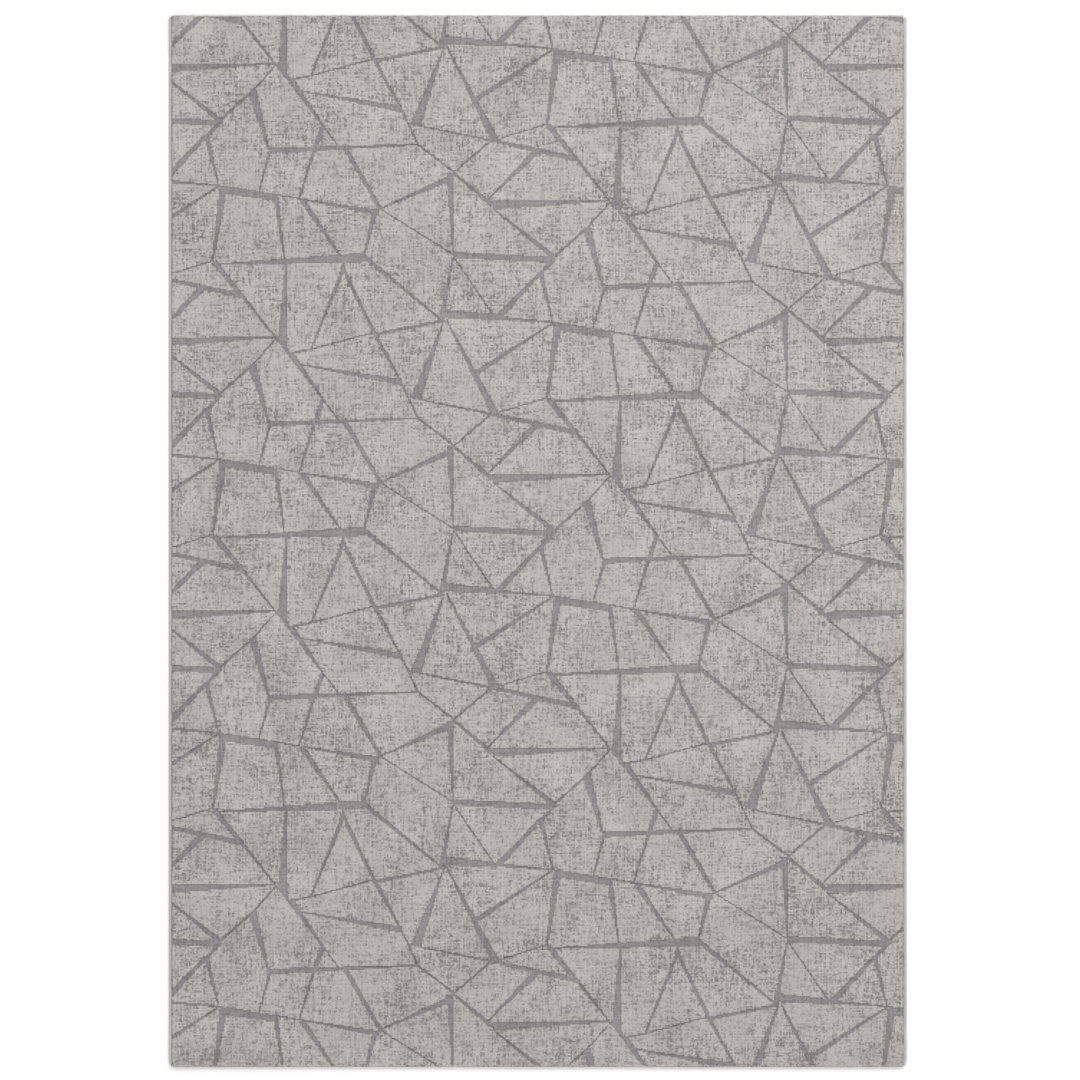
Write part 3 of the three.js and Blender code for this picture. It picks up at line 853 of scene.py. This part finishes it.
def edge_tufts(lines, field_yarn, line_yarn):
    """The tufts that show from outside: the splayed last rows at both ends, and the outermost ones along the
    sides, each leaning out a little by its own amount."""
    rows, columns = lines.shape
    generator = np.random.default_rng(SEED + 5)
    pitch = 2 * PILE_HALF_WIDTH / columns
    end_leans = (6, 1, -4, -10, -17)
    end_half, side_half = 0.9 * MM, 1.2 * MM
    edge_x = PILE_HALF_WIDTH - 1.3 * MM
    parts = {"field": [], "line": []}
    x = (np.arange(columns) + 0.5) * pitch - PILE_HALF_WIDTH
    for end, row in ((1, rows - 1), (-1, 0)):
        for layer, lean in enumerate(end_leans):
            for kind, level, chosen in edge_kinds(lines[row]):
                at = x[chosen] + generator.uniform(-0.9, 0.9, chosen.sum()) * MM + (layer * 0.4 - 0.8) * pitch
                angle = LAST_ANGLE + np.radians(lean + generator.uniform(-5, 5, at.size))
                tip_radius = SLOT_HALF + level - layer * 0.5 * MM
                tip_radius = tip_radius + generator.uniform(-1.3, 0.4, at.size) * MM
                root = end_points(at, np.full(at.size, SLOT_HALF + ROOT_LEVEL), angle, end)
                tip = end_points(at + generator.uniform(-0.6, 0.6, at.size) * MM, tip_radius, angle, end)
                wide = np.tile([1.0 * end, 0.0, 0.0], (at.size, 1))
                parts[kind].append(outer_tufts(
                    root, tip, wide, np.full(at.size, end_half), generator.uniform(0.7, 1.05, at.size) * MM
                ))
    s = (np.arange(rows) + 0.5) / rows * 2 * PILE_HALF_LENGTH - PILE_HALF_LENGTH
    s = s[np.abs(s) < FOLD_Y]
    inner = slice((rows - s.size) // 2, (rows - s.size) // 2 + s.size)
    for side, column in ((1, columns - 1), (-1, 0)):
        for kind, level, chosen in edge_kinds(lines[inner, column]):
            at = s[chosen]
            count = at.size
            lean = generator.uniform(0.8, 2.6, count) * MM
            height = level + generator.uniform(-0.8, 0.2, count) * MM
            root = np.stack([np.full(count, side * edge_x), at, rise(at) + ROOT_LEVEL], -1)
            drift = generator.uniform(-0.5, 0.5, count) * MM
            tip = np.stack([side * (edge_x + lean), at + drift, rise(at) + height], -1)
            wide = np.tile([0.0, -1.0 * side, 0.0], (count, 1))
            parts[kind].append(outer_tufts(
                root, tip, wide, np.full(count, side_half), generator.uniform(1.0, 1.45, count) * MM
            ))
    for kind, material, node in (("field", field_yarn, "field_pile"), ("line", line_yarn, "line_pile")):
        points, quads = joined(parts[kind])
        tufts = mesh_object(f"{kind}_edge_tufts", points, quads, material, own_cells(quads), smooth=False)
        place(tufts, f"{node}_yarn", node)


def end_points(x, radius, angle, end):
    """Points at a radius and angle round the fold's axis, at the head (1) or foot (-1) end."""
    return np.stack([x, end * (FOLD_Y + radius * np.cos(angle)), FOLD_Z + radius * np.sin(angle)], -1)


# ---- Ground cloth ----


def web_samples(flap):
    """Places along the web: close together at ramps, fold and flap, and far apart in the flat middle."""
    turn = np.pi * WEB_RADIUS
    half = np.concatenate([
        np.linspace(0, RAMP_FOOT, 40, endpoint=False),
        np.linspace(RAMP_FOOT, FOLD_Y, 40, endpoint=False),
        np.linspace(FOLD_Y, FOLD_Y + turn, 16, endpoint=False),
        np.linspace(FOLD_Y + turn, FOLD_Y + turn + flap, 10),
    ])
    return np.concatenate([-half[:0:-1], half])


def ply(name, low, high, half_width, material, slot, node):
    """One ply of the cloth: the web's path at two levels, carried across the rug and closed by four rims."""
    s = web_samples(FOLD_Y - RAW_EDGE)
    x = np.linspace(-half_width, half_width, 25)
    generator = np.random.default_rng(SEED + 7)
    fray = generator.uniform(-0.3, 0.3, x.size) * MM
    ends = np.zeros((s.size, x.size))
    ends[0], ends[-1] = fray, fray[::-1]
    skins = []
    for level in (high, low):
        y, z = along_web(s[:, None] + ends, level, WEB_RADIUS)
        skins.append(np.stack([np.broadcast_to(x, y.shape), y, z], -1))
    piece = mesh_object(name, *closed_sheet(*skins), material)
    piece.data.set_sharp_from_angle(angle=CREASE)
    return place(piece, slot, node)


class RUG_OT_ground_cloth(bpy.types.Operator):
    """Makes the plies of the ground cloth, folded under at both ends"""

    bl_idname = "rug.ground_cloth"
    bl_label = "Ground cloth"

    def execute(self, context):
        web_half = WEB_HIGH.x
        latex = LATEX_HIGH.z - HEM_RISE
        weft_low, weft_high = latex + PLY_GAP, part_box("lower_weft")[1].z - HEM_RISE
        warp_low, warp_high = weft_high + PLY_GAP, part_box("stuffer_warp")[1].z - HEM_RISE
        jute = plain_weave(
            "jute_weft", linear("#7d6743"), linear("#b89d70"), 6.25 * MM, 3.125 * MM, 0.9, 0.4 * MM
        )
        warp = plain_weave(
            "spun_polyester_warp", linear("#b9b4a6"), linear("#e0dccf"), 3.125 * MM, 8 * MM, 0.8, 0.3 * MM
        )
        backing = latex_coat("latex_coat", linear("#8d7a58"), linear("#d8d2c2"), sizes().tuft_pitch)
        ply("face_weft", warp_high + PLY_GAP, CLOTH_TOP, web_half, jute, "weft_yarn", "upper_weft")
        ply("stuffer", warp_low, warp_high, web_half, warp, "warp_yarn", "stuffer_warp")
        ply("back_weft", weft_low, weft_high, web_half, jute, "weft_yarn", "lower_weft")
        ply("latex_back", 0.0, latex, LATEX_HIGH.x, backing, "latex", "latex_backcoat")
        return {"FINISHED"}


# ---- Serged sides ----


def serge_path(inset):
    """The yarn's way round the side, as dense (x, z) points: out of the cloth at the pile's edge, over the
    cord in an arc, and back under the cloth. It lies inset inside the serging's outline."""
    shoulder_x = np.array([0.7, 2.0, 3.3]) * MM
    shoulder_z = np.array([1.5, 2.1, 2.7]) * MM
    inner_x = OVERLOCK_LOW.x
    angle = np.linspace(np.radians(115), -np.pi / 2, 40)
    radius = SERGE_RADIUS - inset
    round_x = CORD_X + radius * np.cos(angle)
    round_z = SERGE_RADIUS + radius * np.sin(angle)
    start_x = PILE_HALF_WIDTH - 0.3 * MM
    start_z = ROOT_LEVEL + 0.2 * MM
    x = np.concatenate([[start_x], start_x + shoulder_x, round_x, [inner_x + 0.8 * MM, inner_x]])
    z = np.concatenate([[start_z], ROOT_LEVEL + shoulder_z - inset, round_z, [inset, inset + 0.5 * MM]])
    return x, z


def resampled(x, z, count):
    """count points evenly along a path of (x, z) points."""
    run = np.concatenate([[0], np.cumsum(np.hypot(np.diff(x), np.diff(z)))])
    at = np.linspace(0, run[-1], count)
    return np.interp(at, run, x), np.interp(at, run, z)


def foot_drift(y):
    """How far the serging strays inwards before it ends at the foot, as hand-guided serging does: by the
    square of the share of its last stretch."""
    share = np.clip(1 - (SIDE_END + y) / FOOT_DRIFT_LENGTH, 0, 1)
    return FOOT_DRIFT * share * share


def overlock(side, material):
    """Wraps of yarn round the side: each is a flattened five-sided tube along the yarn's way, which moves on
    by most of a pitch as it goes round. A plain lining inside closes the gaps."""
    size = sizes()
    count = round(2 * SIDE_END / size.wrap_pitch)
    pitch = 2 * SIDE_END / count
    steps, sides = 18, 5
    half_thick = size.yarn_thickness / 2
    generator = np.random.default_rng(SEED + 9 + side)
    path_x, path_z = resampled(*serge_path(half_thick), steps)
    wrap = np.arange(count)[:, None]
    round_it = np.linspace(0, 1, steps)[None, :]
    y = -SIDE_END + (wrap + 0.5) * pitch + (round_it - 0.5) * 0.7 * pitch
    y = np.clip(y + generator.normal(0, 0.06, (count, 1)) * pitch, -SIDE_END, SIDE_END)
    swell = 1 + generator.normal(0, 0.06, (count, 1))
    x = path_x - foot_drift(y) + generator.normal(0, 0.08, (count, 1)) * MM
    z = path_z + side_lift(x, y, np.broadcast_to(path_z, y.shape))
    slope_x, slope_z = np.gradient(x, axis=1), np.gradient(z, axis=1)
    length = np.hypot(slope_x, slope_z)
    out_x, out_z = -slope_z / length, slope_x / length
    angle = np.arange(sides)[None, None, :] * 2 * np.pi / sides + np.pi / 2
    thick = half_thick * swell[:, :, None] * np.sin(angle)
    wide = pitch * 0.56 * swell[:, :, None] * np.cos(angle)
    tube_x = x[:, :, None] + out_x[:, :, None] * thick
    tube_z = np.maximum(z[:, :, None] + out_z[:, :, None] * thick, FLOOR_GAP)
    tube_y = np.clip(y[:, :, None] + wide, -SIDE_END, SIDE_END)
    points = np.stack([side * tube_x, np.broadcast_to(tube_y, tube_x.shape), tube_z], -1)
    tube = grid_quads(steps, sides, close_columns=True)
    quads = (np.arange(count)[:, None, None] * steps * sides + tube[None]).reshape(-1, 4)
    stations = np.unique(np.concatenate([
        np.linspace(-SIDE_END, SIDE_END, 60),
        np.linspace(RAMP_FOOT, SIDE_END, 24),
        -np.linspace(RAMP_FOOT, SIDE_END, 24),
    ]))
    lining_x, lining_z = resampled(*serge_path(1.3 * half_thick), LINING_POINTS)
    shape = (stations.size, LINING_POINTS)
    lining_y = np.broadcast_to(stations[:, None], shape)
    lift = side_lift(np.broadcast_to(lining_x, shape), lining_y, np.broadcast_to(lining_z, shape))
    lining = np.stack([side * (lining_x - foot_drift(lining_y)), lining_y, lining_z + lift], -1)
    points, quads = joined([
        (points.reshape(-1, 3), quads),
        (lining.reshape(-1, 3), grid_quads(*shape)),
    ])
    uv = overlock_uv(count, steps, sides, stations.size)
    if side < 0:
        quads, uv = quads[:, ::-1], uv[:, ::-1]
    name = SIDE_NAMES[side]
    piece = mesh_object(f"{name}_serging", points, quads, material, uv)
    return place(piece, "serging_yarn", f"{name}_overlock")


def overlock_uv(count, steps, sides, stations):
    """Lays the wraps flat: around the side from left to right and along the rug upwards, the foot half on the
    left and the head half on the right. The lining lies in a narrow band beside them."""
    wraps_width, foot_start, head_start = 0.4, 0.01, 0.51
    band_width, band_start = 0.08, 0.915
    half = (count + 1) // 2
    wrap = np.arange(count)[:, None, None, None]
    step = np.arange(steps - 1)[None, :, None, None]
    ring = np.arange(sides)[None, None, :, None]
    next_step = np.array([0, 0, 1, 1])
    next_ring = np.array([0, 1, 1, 0])
    u = (step + next_step) / (steps - 1) * wraps_width + np.where(wrap < half, foot_start, head_start)
    v = ((wrap % half) + (ring + next_ring) / sides) / half
    shape = (count, steps - 1, sides, 4)
    tubes = np.stack([np.broadcast_to(u, shape), np.broadcast_to(v, shape)], -1).reshape(-1, 4, 2)
    cells = LINING_POINTS - 1
    row = np.arange(stations - 1)[:, None, None]
    column = np.arange(cells)[None, :, None]
    band_u = (column + np.array([0, 1, 1, 0])) / cells * band_width + band_start
    band_v = (row + np.array([0, 0, 1, 1])) / (stations - 1)
    shape = (stations - 1, cells, 4)
    band = np.stack([np.broadcast_to(band_u, shape), np.broadcast_to(band_v, shape)], -1)
    return np.concatenate([tubes, band.reshape(-1, 4, 2)])


class RUG_OT_serging(bpy.types.Operator):
    """Wraps the serging yarn round both long sides"""

    bl_idname = "rug.serging"
    bl_label = "Serging"

    def execute(self, context):
        yarn = serging_yarn()
        for side in (1, -1):
            overlock(side, yarn)
        return {"FINISHED"}


def serging_yarn():
    """The yarn of serging and whipped corners, made once."""
    name = "spun_polyester_serging"
    colour = colours()
    return bpy.data.materials.get(name) or spun_polyester(
        name, colour.serging_dark, colour.serging_light, sizes().wrap_pitch
    )


def selvedge_cord(side, material):
    """Three twisted plies: the radius goes up and down three times round the cord, and turns as it goes on.
    Both ends are drawn in to a point."""
    turn = 14 * MM
    rings, around = 1500, 12
    y = np.linspace(-SIDE_END + 0.3 * MM, SIDE_END - 0.3 * MM, rings)[:, None]
    angle = np.linspace(0, 2 * np.pi, around, endpoint=False)[None, :]
    radius = CORD_RADIUS * (0.88 + 0.12 * np.cos(3 * (angle - 2 * np.pi * y / turn)))
    radius[[0, -1]] *= POLE
    x = CORD_X - foot_drift(y) + radius * np.cos(angle)
    z = SERGE_RADIUS + rise(y) * HEM_CORD_SHARE + radius * np.sin(angle)
    points = np.stack([side * x, np.broadcast_to(y, x.shape), z], -1).reshape(-1, 3)
    quads = grid_quads(rings, around, close_columns=True)
    if side > 0:
        quads = quads[:, ::-1]
    uv = round_map(rings, around, side > 0)
    name = SIDE_NAMES[side]
    piece = mesh_object(f"{name}_cord", points, quads, material, uv)
    return place(piece, "cord", f"{name}_selvedge_cord")


class RUG_OT_cords(bpy.types.Operator):
    """Twists the cord inside each long side"""

    bl_idname = "rug.cords"
    bl_label = "Selvedge cords"

    def execute(self, context):
        cotton = plain_weave(
            "cotton_cord", linear("#b9b3a3"), linear("#e4dfd1"), 2 * MM, 2 * MM, 0.9, 0.2 * MM
        )
        for side in (1, -1):
            selvedge_cord(side, cotton)
        return {"FINISHED"}


def corner_tack(end, side, material):
    """The whipped end of the serging: a low dome round the way out, with a ridge for each turn of yarn."""
    name = f"{END_NAMES[end]}_{SIDE_NAMES[side]}"
    low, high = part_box(f"{name}_corner_tack")
    centre_x, centre_z = (low.x + high.x) / 2, (low.z + high.z) / 2
    half_x, half_z = (high.x - low.x) / 2, (high.z - low.z) / 2
    deep = high.y - low.y
    base_y = low.y if end > 0 else high.y
    turns, rings, around = 5, 30, 28
    out = np.linspace(0, 1, rings)[:, None]
    angle = np.linspace(0, 2 * np.pi, around, endpoint=False)[None, :]
    ridge = 1 + 0.07 * np.abs(np.sin(np.pi * turns * (out + angle / (2 * np.pi) / turns)))
    reach = np.cos(out * np.pi / 2 * 0.985) * ridge
    reach[0] *= POLE
    z = np.maximum(centre_z + half_z * reach * np.sin(angle), FLOOR_GAP)
    y = base_y + end * deep * np.sin(np.clip(out - out[1], 0, None) * np.pi / 2) * (0.9 + 0.1 * ridge)
    x = centre_x + side * (half_x * reach * np.cos(angle) - foot_drift(y))
    points = np.stack([x, np.broadcast_to(y, x.shape), z], -1).reshape(-1, 3)
    quads = grid_quads(rings, around, close_columns=True)
    if end * side > 0:
        quads = quads[:, ::-1]
    uv = round_map(rings, around, end * side > 0)
    piece = mesh_object(f"{name}_whipping", points, quads, material, uv)
    return place(piece, "serging_yarn", f"{name}_corner_tack")


class RUG_OT_whipped_corners(bpy.types.Operator):
    """Whips the end of the serging at each corner"""

    bl_idname = "rug.whipped_corners"
    bl_label = "Whipped corners"

    def execute(self, context):
        for end in (1, -1):
            for side in (1, -1):
                corner_tack(end, side, serging_yarn())
        return {"FINISHED"}


# ---- Hems and label ----


def strip_under(name, path, thickness, sides, columns, end, material, slot, node, wave):
    """A thin strip across the rug: its top follows path, an (n, 2) array of y and z, and its edges wander by
    wave."""
    generator = np.random.default_rng(SEED + 13)
    x = np.linspace(*sides, columns)
    wander = smooth_random(generator, 2, columns, 6) * wave
    share = np.linspace(0, 1, len(path))[:, None]
    y = end * (path[:, :1] + wander[0] * (1 - share) + wander[1] * share)
    top = np.stack([np.broadcast_to(x, y.shape), y, np.broadcast_to(path[:, 1:], y.shape)], -1)
    points, quads = closed_sheet(top, top - np.array([0, 0, thickness]))
    if end < 0:
        quads = quads[:, ::-1]
    piece = mesh_object(name, points, quads, material)
    piece.data.set_sharp_from_angle(angle=CREASE)
    return place(piece, slot, node)


class RUG_OT_hem_glue(bpy.types.Operator):
    """Lays the glue in the fold of both ends"""

    bl_idname = "rug.hem_glue"
    bl_label = "Hem glue"

    def execute(self, context):
        glue = hot_melt("hot_melt_glue", linear("#c9ab63"), linear("#e6d6a4"))
        y = np.linspace(ADHESIVE_LOW.y, ADHESIVE_HIGH.y, 6)
        path = np.stack([y, np.full(6, ADHESIVE_HIGH.z)], -1)
        thick = ADHESIVE_HIGH.z - ADHESIVE_LOW.z
        for end, name in END_NAMES.items():
            strip_under(
                f"{name}_glue", path, thick, (ADHESIVE_LOW.x, ADHESIVE_HIGH.x), 120, end, glue,
                "hot_melt", f"{name}_hem_adhesive", 1.5 * MM,
            )
        return {"FINISHED"}


class RUG_OT_hem_tape(bpy.types.Operator):
    """Lays the tape over the raw edge of both ends: up on the back, and flat on the floor over the flap"""

    bl_idname = "rug.hem_tape"
    bl_label = "Hem tape"

    def execute(self, context):
        cotton = plain_weave(
            "cotton_twill_tape", linear("#a29a8a"), linear("#cdc6b8"), 1.6 * MM, 1.6 * MM, 0.75, 0.2 * MM
        )
        thick = TAPE_THICKNESS
        back_y = np.linspace(TAPE_LOW.y, RAW_EDGE - 6 * MM, 12)
        on_back = np.stack([back_y, rise(back_y) - UNDER_GAP], -1)
        floor_y = np.linspace(RAW_EDGE - 0.8 * MM, TAPE_HIGH.y, 8)
        on_flap = np.stack([floor_y, np.full(8, thick)], -1)
        path = np.concatenate([on_back, on_flap])
        for end, name in END_NAMES.items():
            strip_under(
                f"{name}_tape", path, thick, (TAPE_LOW.x, TAPE_HIGH.x), 90, end, cotton,
                "twill_tape", f"{name}_hem_tape", 0.6 * MM,
            )
        return {"FINISHED"}


class RUG_OT_label(bpy.types.Operator):
    """Sews the blank label on the back, on the foot end's ramp"""

    bl_idname = "rug.label"
    bl_label = "Label"

    def execute(self, context):
        satin = satin_ribbon("polyester_satin", linear("#dddbd4"), linear("#f2f1ec"))
        y = np.linspace(-LABEL_HIGH.y, -LABEL_LOW.y, 14)
        path = np.stack([y, np.maximum(rise(y) - UNDER_GAP, LABEL_THICKNESS + 0.05 * MM)], -1)
        strip_under(
            "blank_label", path, LABEL_THICKNESS, (LABEL_LOW.x, LABEL_HIGH.x), 20, -1, satin,
            "label_cloth", "care_label", 0.0,
        )
        return {"FINISHED"}


# ---- Stage, light and registration ----


class RUG_OT_stage(bpy.types.Operator):
    """Sets the paper floor, the soft light and the camera straight above"""

    bl_idname = "rug.stage"
    bl_label = "Stage"

    def execute(self, context):
        scene = context.scene
        reach, under = 8.0, -0.1 * MM
        x, y = np.meshgrid([-reach, reach], [-reach, reach])
        points = np.stack([x.ravel(), y.ravel(), np.full(4, under)], -1)
        paper = seamless_paper("seamless_paper", linear("#f8f8f7"))
        mesh_object("paper_floor", points, grid_quads(2, 2), paper)
        world = bpy.data.worlds.new("studio")
        world.use_nodes = True
        background = world.node_tree.nodes["Background"]
        background.inputs["Color"].default_value = (1.0, 1.0, 1.0, 1.0)
        background.inputs["Strength"].default_value = 1.0
        scene.world = world
        softbox = bpy.data.lights.new("softbox", "AREA")
        softbox.shape = "SQUARE"
        softbox.size = 1.6
        softbox.energy = 36.0
        lamp = bpy.data.objects.new("softbox", softbox)
        lamp.location = (0.9, 1.2, 3.0)
        lamp.rotation_euler = (np.radians(-21.8), np.radians(15.6), 0.0)
        scene.collection.objects.link(lamp)
        lens = bpy.data.cameras.new("camera")
        height, framed = 12.0, 2.3542
        lens.sensor_width = 36.0
        lens.lens = lens.sensor_width * height / framed
        lens.clip_end = 100.0
        camera = bpy.data.objects.new("camera", lens)
        camera.location = (5.0 * MM, 2.8 * MM, height)
        scene.collection.objects.link(camera)
        scene.camera = camera
        scene.view_settings.view_transform = "Standard"
        return {"FINISHED"}


class RUG_PT_panel(bpy.types.Panel):
    """Lists the sizes, the colours and the operators in the order in which they run"""

    bl_idname = "RUG_PT_panel"
    bl_label = "Rug"
    bl_space_type = "VIEW_3D"
    bl_region_type = "UI"
    bl_category = "Rug"

    def draw(self, context):
        layout = self.layout
        for name in RugSizes.__annotations__:
            layout.prop(context.scene.rug_sizes, name)
        for name in RugColours.__annotations__:
            layout.prop(context.scene.rug_colours, name)
        for operator in OPERATORS:
            layout.operator(operator.bl_idname)


OPERATORS = (
    RUG_OT_pile,
    RUG_OT_ground_cloth,
    RUG_OT_serging,
    RUG_OT_cords,
    RUG_OT_whipped_corners,
    RUG_OT_hem_glue,
    RUG_OT_hem_tape,
    RUG_OT_label,
    RUG_OT_stage,
)
CLASSES = (RugSizes, RugColours, *OPERATORS, RUG_PT_panel)


def register():
    """Registers the classes, and puts sizes and colours on the scene."""
    for cls in CLASSES:
        bpy.utils.register_class(cls)
    bpy.types.Scene.rug_sizes = bpy.props.PointerProperty(type=RugSizes)
    bpy.types.Scene.rug_colours = bpy.props.PointerProperty(type=RugColours)


def unregister():
    """Takes away what register added."""
    del bpy.types.Scene.rug_colours
    del bpy.types.Scene.rug_sizes
    for cls in reversed(CLASSES):
        bpy.utils.unregister_class(cls)


def main():
    """Makes every piece and the stage."""
    register()
    bpy.ops.rug.pile()
    bpy.ops.rug.ground_cloth()
    bpy.ops.rug.serging()
    bpy.ops.rug.cords()
    bpy.ops.rug.whipped_corners()
    bpy.ops.rug.hem_glue()
    bpy.ops.rug.hem_tape()
    bpy.ops.rug.label()
    bpy.ops.rug.stage()


if __name__ == "__main__":
    main()
